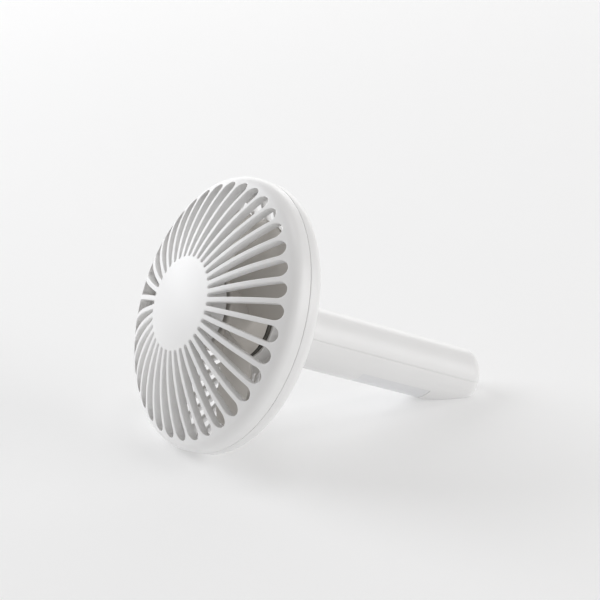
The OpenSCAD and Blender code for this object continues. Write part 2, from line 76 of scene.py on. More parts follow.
# Rear shell: a rounded rim with a lip inside the grille, a slotted dome, a neck, and the motor's stand.
BACK_C_R = 49.7
BACK_C_Z = 25.8
BACK_ROUND = 5.0
REAR_R = 86.2
REAR_APEX = 45.9
REAR_C = REAR_APEX - REAR_R
REAR_T = 2.4
REAR_RIB_ROUND = 0.45
REAR_START_C = 20.0
REAR_END_R = 48.6
REAR_JOIN_IN = 18.6
REAR_JOIN_OUT = 49.0
LIP_R = 53.0
LIP_IN_R = 52.0
LIP_ROUND = 0.2
LIP_Z = 21.6
LIP_ROOT_Z = 24.8
PLATE_Z = 36.4
PLATE_END = 38.4
PEDESTAL_R = 15.0
PEDESTAL_ROUND = 0.5
PEDESTAL_FILLET = 0.8

# Impeller. Angles are in degrees, and a blade's two edges have their z at the hub and at the tip.
BLADES = 4
TIP_R = 46.3
HUB_R = 15.0
HUB_WALL = 1.4
HUB_Z = 15.4
HUB_BACK = 34.0
HUB_ROUND = 1.0
HUB_BACK_ROUND = 0.3
ROOT_DEPTH = 0.6  # how far a blade reaches into the hub
BLADE_THINNING = 2.2  # how soon a blade has its full thickness, away from its edges
BLADE_SWEEP = 70.0
BLADE_TURN = 9.5
BLADE_T = 1.2
BLADE_FRONT = (16.0, 14.5)
BLADE_BACK = (26.5, 31.3)
CORNER_R = 34.0  # where a blade's corners start
CORNER_END_R = TIP_R + 0.05  # where they would meet the tip square, just past it
FRONT_CORNER = 21.0
BACK_CORNER = 45.0

# Handle: two halves with a seam, a neck that holds their tenon, and a flat cut at the table.
GRIP_R = 12.5
GRIP_WALL = 1.6
GRIP_IN_R = GRIP_R - GRIP_WALL
FAN_LEN = 146.8
END_ROUND = 6.0
SEAM_X = 1.6
SEAM_GAP = 0.02
SEAM_ROUND = 0.1
FLAT_ROUND = 0.8
FLAT_ROWS_Z = 124.0  # the rows are closer together from here on, where the flat starts
NECK_FILLET = 5.0
NECK_R = GRIP_R + NECK_FILLET
NECK_FILLET_H = 4.9
NECK_END = REAR_C + math.sqrt(REAR_R**2 - NECK_R**2) + NECK_FILLET_H
NECK_MOUTH_ROUND = 0.25
NECK_BORE_R = 10.95
NECK_BORE_Z = 42.6
STAND_BORE_R = 13.2
GRIP_Z = NECK_END + 0.2
TENON_Z = 41.2
TENON_R = 10.85
TENON_BORE_R = 9.3
BEAD_R = 11.7
BORE_END = 50.6
PORT_HALF_W = 4.65
PORT_ROUND = 1.75

# Button, light hole, case screws and label
BUTTON_Z = 54.3
BUTTON_R = 4.6
BUTTON_CROWN = 0.15
BUTTON_ROUND = 0.3
BUTTON_GAP = 0.12
FLANGE_R = 5.2
FLANGE_X = (8.6, 9.3)
STEM_R = 1.5
STEM_X = 7.9
LIGHT_Z = 50.4
LIGHT_Y = -6.4
LIGHT_R = 1.0
SCREW_HOLES = ((61.0, 2.0, -9.9), (132.2, 1.9, -7.2))  # z, radius, and x of the seat
LABEL_Z = 88.3
LABEL_LEN = 35.0
LABEL_SWEEP = 112.0
POCKET_DEPTH = 0.35
FILM_MARGIN = 0.2
FILM_SWEEP = LABEL_SWEEP - 1
FILM_DEPTHS = (0.1, 0.33)  # its outer and inner face, below the handle's surface

# The fan lies tilted on its rim and on the flat of its handle.
TILT = math.radians(23)
C = math.cos(TILT)
S = math.sin(TILT)
REST_H = BACK_C_R * C + BACK_C_Z * S + BACK_ROUND
END_X = (FAN_LEN - END_ROUND) * C + (GRIP_R - END_ROUND) * S + END_ROUND
MID_X = (DOME_R * (C - 1) + END_X) / 2
MM = 0.001
MERGE = 4e-6  # points closer than this many metres become one


def to_row(points):
    """Points of the fan's frame in mm, laid down in the row frame in metres."""
    p = np.asarray(points, float)
    x, y, z = p[..., 0], p[..., 1], p[..., 2]
    return np.stack([-MID_X + z * C + x * S, -y, REST_H + x * C - z * S], -1) * MM


# ---- mesh building ----


class Shape:
    """Vertices and faces, gathered before they become one mesh."""

    def __init__(self):
        self.verts = []
        self.faces = []
        self.count = 0

    def grid(self, rows, wrap=False):
        """A sheet of quads over rows x columns of points. wrap joins the last column to the first."""
        rows = np.asarray(rows, float)
        n, m = rows.shape[:2]
        base = self.count
        self.verts.append(rows.reshape(-1, 3))
        self.count += n * m
        for a in range(base, base + (n - 1) * m, m):
            for j in range(m if wrap else m - 1):
                k = (j + 1) % m
                self.faces.append((a + j, a + k, a + m + k, a + m + j))
        return self

    def revolve(self, profile, angles):
        """Turns (r, z) points around the fan axis."""
        pr = np.asarray(profile, float)
        z = np.repeat(pr[:, 1:2], len(angles), 1)
        rows = np.stack([np.outer(pr[:, 0], np.cos(angles)), np.outer(pr[:, 0], np.sin(angles)), z], -1)
        return self.grid(rows, wrap=True)

    def mesh(self, name, sharp=32, place=to_row):
        """The object, smooth shaded but for edges sharper than so many degrees."""
        me = bpy.data.meshes.new(name)
        me.from_pydata(place(np.concatenate(self.verts)).tolist(), [], self.faces)
        bm = bmesh.new()
        bm.from_mesh(me)
        bmesh.ops.remove_doubles(bm, verts=bm.verts, dist=MERGE)
        bmesh.ops.recalc_face_normals(bm, faces=bm.faces)
        bm.to_mesh(me)
        bm.free()
        me.shade_smooth()
        me.set_sharp_from_angle(angle=math.radians(sharp))
        ob = bpy.data.objects.new(name, me)
        bpy.context.scene.collection.objects.link(ob)
        return ob


def turned(rows, angle):
    """Points turned around the fan axis."""
    c, s = math.cos(angle), math.sin(angle)
    x, y, z = rows[..., 0], rows[..., 1], rows[..., 2]
    return np.stack([x * c - y * s, x * s + y * c, z], -1)


def full_circle(n):
    """n angles all the way round, without the last that would repeat the first."""
    return np.linspace(0, 2 * math.pi, n + 1)[:-1]


def path(corners, steps):
    """A profile through (r, z, rounding) corners. A sharp corner has no rounding, and the ends are sharp."""
    out = []
    for i, (x, y, *rounding) in enumerate(corners):
        p = np.array([x, y], float)
        if not rounding:
            out.append(p)
            continue
        rad = rounding[0]
        a = np.array(corners[i - 1][:2], float) - p
        b = np.array(corners[i + 1][:2], float) - p
        a, b = a / np.linalg.norm(a), b / np.linalg.norm(b)
        half = math.acos(np.clip(a @ b, -1, 1)) / 2
        centre = p + (a + b) / np.linalg.norm(a + b) * rad / math.sin(half)
        start = p + a * rad / math.tan(half) - centre
        end = p + b * rad / math.tan(half) - centre
        first = math.atan2(start[1], start[0])
        turn = (math.atan2(end[1], end[0]) - first + math.pi) % (2 * math.pi) - math.pi
        for k in range(steps + 1):
            t = first + turn * k / steps
            out.append(centre + rad * np.array([math.cos(t), math.sin(t)]))
    return out


def arc(cx, cy, r, first, last, steps):
    """Points along an arc whose two angles are in degrees."""
    t = np.radians(np.linspace(first, last, steps + 1))
    return [(cx + r * math.cos(a), cy + r * math.sin(a)) for a in t]


def stretches(*parts):
    """Values along stretches that follow each other, each given as first, last and steps."""
    runs = [np.linspace(first, last, steps + 1)[:-1] for first, last, steps in parts]
    return np.concatenate(runs + [[parts[-1][1]]])


# ---- slotted domes ----

HALF_PITCH = math.pi / SLOTS
OUTER_STEPS = (4, 8)  # around a slot's outer end: on each side, and where it faces the plain rim
INNER_STEPS = (2, 4)  # and around its inner end, where it faces the boss or the neck
SIDE_STEPS = 16
FRONT_EDGE_ANGLES = np.radians([22.5, 45, 67.5, 90])
BACK_EDGE_ANGLES = np.radians([90, 45, 0])
TINY = 1e-9  # lets an angle at a corner count as facing the plain surface


def end_centre(end_r):
    """Radius at which the round end of a slot is centred, so that it ends at end_r."""
    return (end_r + RIB_W / 2) / (1 + math.sin(HALF_PITCH))


class Slots:
    """The radial slots of one dome between radii r_a and r_b, and the edges where plain surfaces join it."""

    def __init__(self, c_in, c_out, r_a, r_b, turn):
        self.c_in, self.c_out, self.r_a, self.r_b = c_in, c_out, r_a, r_b
        self.turn = math.radians(turn)
        side = math.pi / 2 + HALF_PITCH
        cos, sin = math.cos(HALF_PITCH), math.sin(HALF_PITCH)
        turn_out = self.corner_out = math.atan2(r_b * sin, r_b * cos - c_out)
        turn_in = self.corner_in = math.atan2(r_a * sin, r_a * cos - c_in)
        full = 2 * math.pi
        out_side, out_facing = OUTER_STEPS
        in_side, in_facing = INNER_STEPS
        self.outer = stretches((-side, -turn_out, out_side), (-turn_out, turn_out, out_facing),
                               (turn_out, side, out_side))
        self.inner = stretches((side, turn_in, in_side), (turn_in, full - turn_in, in_facing),
                               (full - turn_in, full - side, in_side))
        self.t = np.linspace(0, 1, SIDE_STEPS + 1)[1:-1, None]
        out, into = self.boundary_arcs()
        self.outer_angles = self.spread(out[out_side: out_side + out_facing])
        self.inner_angles = self.spread(into[in_side: in_side + in_facing][::-1])

    def spread(self, points):
        """The points' angles around the fan axis, repeated for every slot."""
        a = np.arctan2(points[:, 1], points[:, 0])
        return np.concatenate([a + self.turn + k * 2 * HALF_PITCH for k in range(SLOTS)])

    def ray_end(self, phi, outward):
        """Where a ray from a slot end's centre leaves that slot's share of the dome."""
        if outward:
            c, r, sign = self.c_out, self.r_b, 1
            facing = abs(phi) < self.corner_out + TINY
        else:
            c, r, sign = self.c_in, self.r_a, -1
            phi = phi if phi <= math.pi else phi - 2 * math.pi
            facing = abs(phi) > self.corner_in - TINY
        if facing:
            d = sign * math.sqrt(r * r - (c * math.sin(phi)) ** 2) - c * math.cos(phi)
        else:
            d = c * math.sin(HALF_PITCH) / math.sin(abs(phi) - HALF_PITCH)
        return c + d * math.cos(phi), d * math.sin(phi)

    def boundary_arcs(self):
        """Points on the edge of the slot's share of the dome, around its outer and inner ends."""
        return (np.array([self.ray_end(phi, True) for phi in self.outer]),
                np.array([self.ray_end(phi, False) for phi in self.inner]))

    def loop(self, d):
        """The slot's outline, grown by d."""
        def ring(c, angles):
            r = c * math.sin(HALF_PITCH) - RIB_W / 2 + d
            return np.stack([c + r * np.cos(angles), r * np.sin(angles)], -1)

        return self.joined(ring(self.c_out, self.outer), ring(self.c_in, self.inner))

    def joined(self, out, into):
        """One closed loop through both ends, with straight sides between them."""
        down = out[-1] + (into[0] - out[-1]) * self.t
        up = into[-1] + (out[0] - into[-1]) * self.t
        return np.concatenate([out, down, into, up])

    def build(self, shape, top, bottom, edge, back_edge):
        """Adds the ribs. top and bottom give z from r, and the edges are roundings."""
        bound = self.joined(*self.boundary_arcs())
        inward = np.sign(bottom(HEAD_R / 2) - top(HEAD_R / 2))  # the way into the rib, along z
        rows = []

        def put(points, surface, shift=0.0):
            r = np.hypot(points[:, 0], points[:, 1])
            rows.append(np.column_stack([points, surface(r) + shift]))

        for w in (0, 0.5, 1):
            put(bound * (1 - w) + self.loop(edge) * w, top)
        for a in FRONT_EDGE_ANGLES:
            put(self.loop(edge * (1 - math.sin(a))), top, inward * edge * (1 - math.cos(a)))
        for a in BACK_EDGE_ANGLES:
            put(self.loop(back_edge * (1 - math.sin(a))), bottom, -inward * back_edge * (1 - math.cos(a)))
        for w in (0.5, 0):
            put(bound * (1 - w) + self.loop(back_edge) * w, bottom)
        rows = np.array(rows)
        for k in range(SLOTS):
            shape.grid(turned(rows, self.turn + k * 2 * HALF_PITCH), wrap=True)


# ---- head ----


def dome(r):
    """z of the front grille's outer face at radius r."""
    return DOME_R - np.sqrt(DOME_R**2 - np.square(r))


def dome_inside(r):
    """z of its inner face."""
    r = np.asarray(r, float)
    inner = DOME_R - np.sqrt((DOME_R - RIB_DEPTH) ** 2 - np.square(np.minimum(r, INSIDE_END_R)))
    return inner - np.maximum(r - INSIDE_END_R, 0) * INSIDE_SLOPE


def back_outside(r):
    """z of the rear shell's outer face at radius r."""
    return REAR_C + np.sqrt(REAR_R**2 - np.square(r))


def back_inside(r):
    """z of its inner face."""
    return REAR_C + np.sqrt((REAR_R - REAR_T) ** 2 - np.square(r))


def make_front():
    """The front grille: ribs, rim, plain boss, and the skirt behind the boss."""
    shape = Shape()
    slots = Slots(FRONT_START_C, end_centre(FRONT_END_R), FRONT_JOIN_IN, FRONT_JOIN_OUT, FRONT_TURN)
    slots.build(shape, dome, dome_inside, RIB_ROUND, RIB_BACK_ROUND)
    shoulder_r = HEAD_R - SHOULDER_R
    shoulder_z = DOME_R - math.sqrt((DOME_R - SHOULDER_R) ** 2 - shoulder_r**2)
    start = -math.degrees(math.atan2(DOME_R - shoulder_z, shoulder_r))
    edge_z = PARTING_Z - PARTING_GAP
    rim = [(FRONT_JOIN_OUT, dome(FRONT_JOIN_OUT))]
    rim += arc(shoulder_r, shoulder_z, SHOULDER_R, start, 0, steps=14)[1:]
    rim += path([(HEAD_R, shoulder_z), (HEAD_R, edge_z, PARTING_ROUND), (HEAD_IN_R, edge_z)], steps=5)[1:]
    rim += arc(shoulder_r, shoulder_z, SHOULDER_R - HEAD_WALL, 0, -40, steps=5)
    rim += [(FRONT_JOIN_OUT, dome_inside(FRONT_JOIN_OUT))]
    shape.revolve(rim, slots.outer_angles)
    boss = [(r, dome(r)) for r in np.linspace(FRONT_JOIN_IN, 0, 10)]
    shape.revolve(boss, slots.inner_angles)
    skirt_in = SKIRT_R - SKIRT_WALL
    skirt = [(FRONT_JOIN_IN, dome_inside(FRONT_JOIN_IN))]
    skirt += path([(SKIRT_R, dome_inside(SKIRT_R)), (SKIRT_R, SKIRT_Z, SKIRT_ROUND), (skirt_in, SKIRT_Z),
                   (skirt_in, dome_inside(skirt_in)), (0, RIB_DEPTH)], steps=4)
    shape.revolve(skirt, slots.inner_angles)
    return shape.mesh("grille_front_shell")


def make_rear():
    """The rear shell: ribs, rim with its lip, neck, and the stand for the motor plate."""
    shape = Shape()
    slots = Slots(REAR_START_C, end_centre(REAR_END_R), REAR_JOIN_IN, REAR_JOIN_OUT, 0)
    slots.build(shape, back_outside, back_inside, REAR_RIB_ROUND, RIB_BACK_ROUND)
    edge_z = PARTING_Z + PARTING_GAP
    join_z = back_outside(REAR_JOIN_OUT)
    rim = [(REAR_JOIN_OUT, join_z), (REAR_JOIN_OUT + 0.3, join_z + 0.08)]
    rim += arc(BACK_C_R, BACK_C_Z, BACK_ROUND, 88, 0, steps=16)
    rim += path([(HEAD_R, BACK_C_Z), (HEAD_R, edge_z, PARTING_ROUND), (LIP_R, edge_z),
                 (LIP_R, LIP_Z, LIP_ROUND), (LIP_IN_R, LIP_Z, LIP_ROUND), (LIP_IN_R, LIP_ROOT_Z),
                 (HEAD_IN_R, BACK_C_Z)], steps=5)[1:]
    rim += arc(BACK_C_R, BACK_C_Z, BACK_ROUND - HEAD_WALL, 0, 78, steps=8)[1:]
    rim += [(REAR_JOIN_OUT, back_inside(REAR_JOIN_OUT))]
    shape.revolve(rim, slots.outer_angles)
    neck = [(r, back_outside(r)) for r in (REAR_JOIN_IN, REAR_JOIN_IN - 0.5)]
    neck += arc(NECK_R, NECK_END, NECK_FILLET, 270, 184, steps=14)
    neck += path([(GRIP_R + 0.02, NECK_END - 0.4), (GRIP_R, NECK_END, NECK_MOUTH_ROUND),
                  (NECK_BORE_R, NECK_END), (NECK_BORE_R, NECK_BORE_Z), (STAND_BORE_R, NECK_BORE_Z - 0.3),
                  (STAND_BORE_R, PLATE_END), (0, PLATE_END)], steps=4)
    neck += path([(0, PLATE_Z), (PEDESTAL_R, PLATE_Z, PEDESTAL_ROUND),
                  (PEDESTAL_R, back_inside(PEDESTAL_R), PEDESTAL_FILLET),
                  (REAR_JOIN_IN, back_inside(REAR_JOIN_IN))], steps=5)
    shape.revolve(neck, slots.inner_angles)
    return shape.mesh("rear_housing")


# ---- impeller ----


def corner(r, angle):
    """Angle that a blade's rounded corner takes off its edge at radius r."""
    x = max(0.0, r - CORNER_R) / (CORNER_END_R - CORNER_R)
    return angle * (1 - math.sqrt(1 - x * x))


def between(ends, u):
    """The value at share u of the way from the first end to the last."""
    return ends[0] + (ends[1] - ends[0]) * u


def blade_rows():
    """One blade: closed rings of points around its section, from root to tip."""
    rows = []
    across = (1 - np.cos(np.linspace(0, math.pi, 25))) / 2
    thin = np.sqrt(np.maximum(1 - (2 * across - 1) ** 2, 0)) * BLADE_THINNING
    t = BLADE_T / 2 * np.minimum(1, thin)
    for u in np.sin(np.linspace(0, math.pi / 2, 25)):
        r = between((HUB_R - ROOT_DEPTH, TIP_R), u)
        degrees = between((corner(r, FRONT_CORNER), BLADE_SWEEP - corner(r, BACK_CORNER)), across)
        z = between((between(BLADE_FRONT, u), between(BLADE_BACK, u)), degrees / BLADE_SWEEP)
        a = np.radians(degrees)
        near = np.stack([r * np.cos(a), r * np.sin(a), z - t], -1)
        far = np.stack([r * np.cos(a), r * np.sin(a), z + t], -1)[-2:0:-1]
        rows.append(np.concatenate([near, far]))
    return np.array(rows)


def blade_end(ring):
    """The sheet that closes a ring: its near points over its far ones."""
    half = len(ring) // 2
    return [ring[: half + 1], np.concatenate([ring[:1], ring[half:][::-1]])[: half + 1]]


def make_impeller():
    """A hub that is open at the back, and its blades."""
    shape = Shape()
    inside_r, inside_z = HUB_R - HUB_WALL, HUB_Z + HUB_WALL
    hub = path([(0, HUB_Z), (HUB_R, HUB_Z, HUB_ROUND), (HUB_R, HUB_BACK, HUB_BACK_ROUND),
                (inside_r, HUB_BACK), (inside_r, inside_z), (0, inside_z)], steps=6)
    shape.revolve(hub, full_circle(96))
    blade = blade_rows()
    for k in range(BLADES):
        rows = turned(blade, math.radians(BLADE_TURN + k * 360 / BLADES))
        shape.grid(rows, wrap=True)
        shape.grid(blade_end(rows[0]))
        shape.grid(blade_end(rows[-1]))
    return shape.mesh("fan_wheel", 40)


# ---- handle ----

EDGE_ANGLES = np.radians([90, 60, 30, 0])
SEAM_EDGE = [(SEAM_ROUND * (1 - math.sin(a)), SEAM_ROUND * (1 - math.cos(a))) for a in EDGE_ANGLES]
SHARP_EDGE = [(0.0, 0.0)] * len(SEAM_EDGE)
HALF_STEPS = 72  # around one half, between the roundings at its seams
CORE_GAP = 0.004  # angle between those columns and the rounding
END_FACE_ROWS = 7
CUT_IN_X = 6  # where the cutters of the upper half's holes start
LEAST_DOWN = 0.05  # below this slope towards the table, the table sets no limit
NO_LIMIT = 1e3


def smooth_min(a, b, k):
    """The smaller of two values, blended where they are within k of each other."""
    h = np.maximum(k - np.abs(a - b), 0) / k
    return np.minimum(a, b) - h * h * k / 4


def table_limit(z, phi, lift):
    """Distance from the axis to the table plane, raised by lift, where phi points at the table."""
    down = -np.cos(phi)
    reach = (REST_H - z * S) / C - lift
    return np.where(down > LEAST_DOWN, reach / np.maximum(down, LEAST_DOWN), NO_LIMIT)


def opening(y):
    """Half height of the charging opening at y."""
    t = np.clip(np.abs(y) - (PORT_HALF_W - PORT_ROUND), 0, None)
    return np.where(np.abs(y) < PORT_HALF_W, np.sqrt(np.maximum(PORT_ROUND**2 - t * t, 0)), 0)


def half_skin(side, profile, lift, edge):
    """Outer or inner skin of one handle half: rows along the handle, then rows over its end face.

    side is 1 for the button's half and -1 for the other. edge is the rounding at the seam, as pairs of
    the distance from the seam and the drop below the surface.
    """
    rows = []
    around = np.linspace(-1, 1, HALF_STEPS + 1)[1:-1]
    away = np.array([e[0] for e in edge])
    drop = np.array([e[1] for e in edge])
    middle = 0 if side > 0 else math.pi
    for r, z in profile:
        seam = math.acos((SEAM_X + side * SEAM_GAP) / r)
        span = seam if side > 0 else math.pi - seam
        a = span - away / r
        phi = middle + np.concatenate([-a, around * (a[-1] - CORE_GAP), a[::-1]])
        rr = smooth_min(np.full(len(phi), r, float), table_limit(z, phi, lift), FLAT_ROUND)
        rr[: len(drop)] -= drop
        rr[-len(drop):] -= drop[::-1]
        rows.append(np.stack([rr * np.cos(phi), rr * np.sin(phi), np.full(len(phi), z)], -1))
    rim = rows[-1]
    y = rim[:, 1]
    seam_x = SEAM_X + side * (SEAM_GAP + opening(y))
    length = np.abs(rim[:, 0] - seam_x)
    steps = np.arange(1, END_FACE_ROWS) / END_FACE_ROWS
    ends = [(length * (1 - w) + away[-1] * w, 0.0) for w in steps]
    ends += [(np.minimum(e[0], length), e[1]) for e in edge[::-1]]
    for dist, d in ends:
        rows.append(np.stack([seam_x + side * dist, y, rim[:, 2] - d], -1))
    return np.array(rows)


def handle_profile(r, wall, start):
    """(r, z) points from start through the end's rounding, with more rows where the flat is."""
    end_z = FAN_LEN - END_ROUND
    body = [(r, z) for z in stretches((start, FLAT_ROWS_Z, 25), (FLAT_ROWS_Z, end_z, 33))]
    return body + arc(GRIP_R - END_ROUND, end_z, END_ROUND - wall, 0, 90, steps=14)[1:]


def make_half(name, side):
    """One half of the handle. Its tenon, with a bead around it, goes into the neck."""
    bead_z = TENON_Z + 0.4
    bead_end = TENON_Z + 1.1
    middle_z = 46
    step_z = GRIP_Z + 0.02
    lead = [(BEAD_R - 0.2, TENON_Z), (BEAD_R, bead_z), (BEAD_R, bead_end), (TENON_R, bead_end + 0.1),
            (TENON_R, middle_z), (TENON_R, step_z), (GRIP_R - 0.25, step_z), (GRIP_R - 0.07, GRIP_Z + 0.09),
            (GRIP_R, GRIP_Z + 0.27)]
    # The bore is straight. It has as many rows as the outside, near to them, so that the seam closes.
    bore_rows = [TENON_Z, bead_z, bead_end, 43, middle_z, 49, 50, BORE_END]
    lead_in = [(TENON_BORE_R, z) for z in bore_rows] + [(GRIP_IN_R, BORE_END)]
    outside = lead + handle_profile(GRIP_R, 0, GRIP_Z + 1.5)
    inside = lead_in + handle_profile(GRIP_IN_R, GRIP_WALL, BORE_END + 0.6)
    outer = half_skin(side, outside, 0, SEAM_EDGE)
    inner = half_skin(side, inside, GRIP_WALL / C, SHARP_EDGE)
    shape = Shape().grid(outer).grid(inner)
    for end in (0, -1):
        shape.grid([outer[end], inner[end]])
    for seam in (0, -1):
        shape.grid([outer[:, seam], inner[:, seam]])
    return shape.mesh(name, 30)


def rod(profile, z, y=0.0, n=48):
    """Turns (r, x) points around a line along x."""
    pr = np.asarray(profile, float)
    a = full_circle(n)
    rows = np.stack([np.repeat(pr[:, 1:2], n, 1), y + np.outer(pr[:, 0], np.sin(a)),
                     z + np.outer(pr[:, 0], np.cos(a))], -1)
    return Shape().grid(rows, wrap=True)


def around_grip(loop, sweep, steps):
    """Rows of the loop's (r, z) points, turned through the sweep at the underside of the handle."""
    half = math.radians(sweep / 2)
    turns = math.pi + np.linspace(-half, half, steps + 1)
    return np.array([[(r * math.cos(a), r * math.sin(a), z) for r, z in loop] for a in turns])


def cut(target, cutter):
    """Takes the cutter's shape out of the target and removes the cutter."""
    mod = target.modifiers.new("cut", "BOOLEAN")
    mod.operation = "DIFFERENCE"
    mod.solver = "EXACT"
    mod.object = cutter
    graph = bpy.context.evaluated_depsgraph_get()
    me = bpy.data.meshes.new_from_object(target.evaluated_get(graph))
    target.modifiers.remove(mod)
    old = target.data
    target.data = me
    me.name = old.name
    bpy.data.meshes.remove(old)
    bpy.data.objects.remove(cutter)
    me.shade_smooth()
    me.set_sharp_from_angle(angle=math.radians(30))


def button_hole():
    r = BUTTON_R + BUTTON_GAP
    top_x = GRIP_R + 0.7
    profile = [(0, CUT_IN_X), (r, CUT_IN_X), (r, GRIP_R - 0.25), (BUTTON_R + 0.5, top_x), (0, top_x)]
    return rod(profile, BUTTON_Z).mesh("cutter_a")


def light_hole():
    top_x = GRIP_R + 0.5
    profile = [(0, CUT_IN_X), (LIGHT_R, CUT_IN_X), (LIGHT_R, top_x), (0, top_x)]
    return rod(profile, LIGHT_Z, LIGHT_Y, 24).mesh("cutter_b")


def screw_hole(z, r, seat_x):
    """A counterbore from below, with a chamfered mouth."""
    out_x = -GRIP_R - 0.9
    profile = [(0, seat_x), (r, seat_x), (r, -GRIP_R + 0.4), (r + 0.6, out_x), (0, out_x)]
    return rod(profile, z).mesh("cutter_c")


def label_pocket():
    """The shallow recess that holds the label."""
    floor_r, out_r, end_z = GRIP_R - POCKET_DEPTH, GRIP_R + 1, LABEL_Z + LABEL_LEN
    loop = [(floor_r, LABEL_Z), (floor_r, end_z), (out_r, end_z), (out_r, LABEL_Z)]
    rows = around_grip(loop, LABEL_SWEEP, 48)
    pocket = Shape().grid(rows, wrap=True)
    for end in (rows[0], rows[-1]):
        pocket.grid([[end[0], end[1]], [end[3], end[2]]])
    return pocket.mesh("cutter_d")


def make_handle():
    upper = make_half("grip_top", 1)
    lower = make_half("grip_bottom", -1)
    cut(upper, button_hole())
    cut(upper, light_hole())
    for z, r, seat_x in SCREW_HOLES:
        cut(lower, screw_hole(z, r, seat_x))
    cut(lower, label_pocket())
    return upper, lower


def make_button():
    """The button follows the handle's curve, with a dished middle, a rounded edge, a flange and a stem.

    dish and edge hold radii and drops below that curve, and below holds radii and x.
    """
    dish = [(0, 0.22), (1.2, 0.2), (2.4, 0.13), (3.3, 0.06), (3.9, 0.01), (4.25, 0.0)]
    edge = [(BUTTON_R - BUTTON_ROUND * (1 - math.sin(a)), BUTTON_ROUND * (1 - math.cos(a)))
            for a in np.radians([20, 45, 70, 90])]
    below = [(BUTTON_R, FLANGE_X[1]), (FLANGE_R, FLANGE_X[1]), (FLANGE_R, FLANGE_X[0]), (STEM_R, FLANGE_X[0]),
             (STEM_R, STEM_X), (0, STEM_X)]
    a = full_circle(64)
    rows = []
    for r, drop in dish + edge:
        y = r * np.sin(a)
        x = np.sqrt((GRIP_R + BUTTON_CROWN) ** 2 - y * y) - drop
        rows.append(np.stack([x, y, BUTTON_Z + r * np.cos(a)], -1))
    for r, x in below:
        rows.append(np.stack([np.full(len(a), x), r * np.sin(a), BUTTON_Z + r * np.cos(a)], -1))
    return Shape().grid(rows, wrap=True).mesh("thumb_button", 35)


def make_label():
    """A blank film in the pocket under the handle."""
    zs = np.linspace(LABEL_Z + FILM_MARGIN, LABEL_Z + LABEL_LEN - FILM_MARGIN, 12)
    top, under = [around_grip([(GRIP_R - depth, z) for z in zs], FILM_SWEEP, 40) for depth in FILM_DEPTHS]
    shape = Shape().grid(top).grid(under)
    for end in (0, -1):
        shape.grid([top[end], under[end]])
        shape.grid([top[:, end], under[:, end]])
    return shape.mesh("data_label", 40)


# ---- materials ----

COAT_ROUGH = 0.15
GLOSS_VARY = 0.06
RELIEF = 0.0001  # height of the bump, in metres


def material(name, colour, rough, metallic=0.0, grain=2500.0, bump=0.05, vary=0.03, blotch=60.0, coat=0.0,
             specular=0.5, stretch=(1, 1, 1)):
    """A moulded, painted or metal finish: slow colour drift, fine grain in the bump, and uneven gloss."""
    mat = bpy.data.materials.new(name)
    mat.use_nodes = True
    nt = mat.node_tree
    bsdf = nt.nodes["Principled BSDF"]
    bsdf.inputs["Metallic"].default_value = metallic
    bsdf.inputs["Specular IOR Level"].default_value = specular
    bsdf.inputs["Coat Weight"].default_value = coat
    bsdf.inputs["Coat Roughness"].default_value = COAT_ROUGH
    coords = nt.nodes.new("ShaderNodeTexCoord")
    mapping = nt.nodes.new("ShaderNodeMapping")
    mapping.inputs["Scale"].default_value = stretch
    nt.links.new(coords.outputs["Object"], mapping.inputs["Vector"])

    def noise(scale, detail):
        node = nt.nodes.new("ShaderNodeTexNoise")
        node.inputs["Scale"].default_value = scale
        node.inputs["Detail"].default_value = detail
        nt.links.new(mapping.outputs["Vector"], node.inputs["Vector"])
        return node.outputs["Fac"]

    ramp = nt.nodes.new("ShaderNodeValToRGB")
    dark, light = ramp.color_ramp.elements
    dark.position = 0.3
    dark.color = (*[c * (1 - vary) for c in colour], 1)
    light.position = 0.7
    light.color = (*colour, 1)
    nt.links.new(noise(blotch, 3), ramp.inputs["Fac"])
    nt.links.new(ramp.outputs["Color"], bsdf.inputs["Base Color"])
    gloss = nt.nodes.new("ShaderNodeMapRange")
    gloss.inputs["To Min"].default_value = max(rough - GLOSS_VARY, 0.02)
    gloss.inputs["To Max"].default_value = min(rough + GLOSS_VARY, 1)
    nt.links.new(noise(blotch * 6, 4), gloss.inputs["Value"])
    nt.links.new(gloss.outputs["Result"], bsdf.inputs["Roughness"])
    relief = nt.nodes.new("ShaderNodeBump")
    relief.inputs["Strength"].default_value = bump
    relief.inputs["Distance"].default_value = RELIEF
    nt.links.new(noise(grain, 2), relief.inputs["Height"])
    nt.links.new(relief.outputs["Normal"], bsdf.inputs["Normal"])
    return mat


